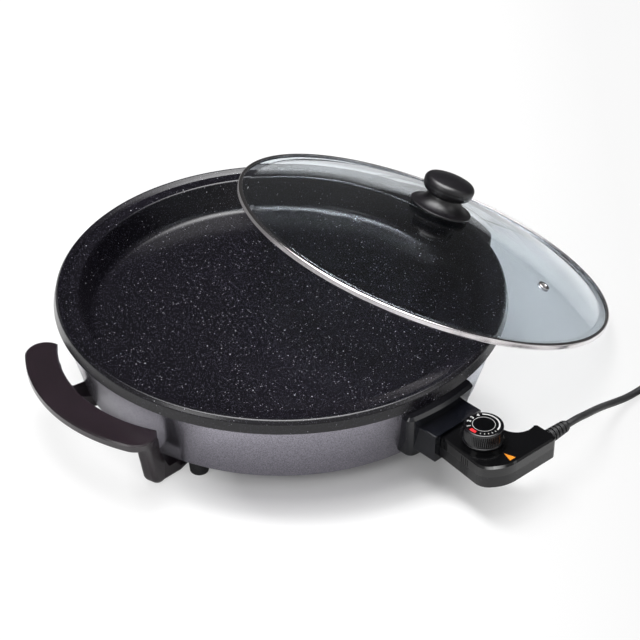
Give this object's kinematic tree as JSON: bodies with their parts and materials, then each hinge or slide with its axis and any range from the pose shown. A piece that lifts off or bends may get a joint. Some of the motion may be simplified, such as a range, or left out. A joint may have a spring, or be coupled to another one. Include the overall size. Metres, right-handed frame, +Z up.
{
  "type": "electric skillet with loose glass lid",
  "caption": "Round electric skillet: cast non-stick pan in a tapered steel skirt, curved bakelite side handles, plug-in dial thermostat and a loose domed glass lid leaning on the rim.",
  "frame": {"origin": "pan's axis on the table plane", "axes": "+Z up; -Y towards the plug-in thermostat; +X to the side on which the lid leans"},
  "size_m": [0.6176, 0.5647, 0.1501],
  "materials": {
    "nonstick_cast_aluminium": "die-cast, fine-textured non-stick coating, satin",
    "hammertone_steel": "grey hammertone enamel, semi-gloss",
    "zinc_steel": "zinc plated, dull",
    "zinc_screw": "zinc plated, bright",
    "steel_tube": "drawn steel, dull",
    "ceramic": "glazed ceramic, off-white",
    "nickel_brass": "nickel plated brass, bright",
    "black_bakelite": "moulded phenolic, glossy",
    "brown_black_bakelite": "moulded phenolic, satin",
    "black_rubber": "moulded, matt",
    "tempered_glass": "clear, polished",
    "clear_glass": "clear",
    "polished_steel": "polished stainless steel",
    "grey_silicone": "matt",
    "orange_lens": "clear orange, glossy",
    "black_tie_plastic": "flexible plastic, matt",
    "black_plug_plastic": "moulded, matt",
    "printed_plate": "black plate with printed white and red scale"
  },
  "bodies": {
    "skillet": {"pan": "nonstick_cast_aluminium", "outer_shell": "hammertone_steel", "bottom_plate": "zinc_steel", "heating_element": "steel_tube", "element_clamps": "zinc_steel", "sensor_guide_tube": "steel_tube", "terminal_block": "ceramic", "terminal_pins": "nickel_brass", "connector_guard": "black_bakelite", "guard_screws": "zinc_screw", "left_handle": "brown_black_bakelite", "right_handle": "brown_black_bakelite", "handle_screws": "zinc_screw", "handle_nuts": "zinc_screw", "round_feet": "black_rubber", "foot_screws": "zinc_screw", "foot_nuts": "zinc_screw", "base_screws": "zinc_screw"},
    "lid": {"lid_glass": "tempered_glass", "lid_band": "polished_steel", "vent_grommet": "polished_steel", "lid_knob": "black_bakelite", "knob_base": "black_bakelite", "knob_seal": "grey_silicone", "knob_screw": "zinc_screw", "knob_washer": "polished_steel"},
    "probe": {"thermostat_lower_housing": "black_bakelite", "thermostat_upper_housing": "black_bakelite", "housing_screws": "zinc_screw", "indicator_lens": "orange_lens", "neon_lamp": "clear_glass", "sensor_rod": "steel_tube", "socket_contacts": "nickel_brass", "thermostat_frame": "zinc_steel", "stack_insulators": "ceramic", "contact_blades": "nickel_brass", "cord_clamp": "black_bakelite", "strain_relief": "black_rubber", "power_cord": "black_rubber", "cord_coil": "black_rubber", "cord_tail": "black_rubber", "cord_tie": "black_tie_plastic", "plug_body": "black_plug_plastic", "plug_pins": "nickel_brass", "plug_earth_strips": "nickel_brass"},
    "dial": {"dial_knob": "black_bakelite", "dial_plate": "printed_plate", "dial_spindle": "zinc_steel"}
  },
  "joints": [
    {"name": "lid_lift", "type": "slide", "parent": "skillet", "child": "lid", "axis": [0, 0, 1], "range_m": [0, 0.15]},
    {"name": "probe_pull", "type": "slide", "parent": "skillet", "child": "probe", "axis": [0, -1, 0], "range_m": [0, 0.09]},
    {"name": "dial_turn", "type": "hinge", "parent": "probe", "child": "dial", "pos_m": [-0.003, -0.259, 0.063], "axis": [0, 0, 1], "range_deg": [-270, 0]}
  ]
}
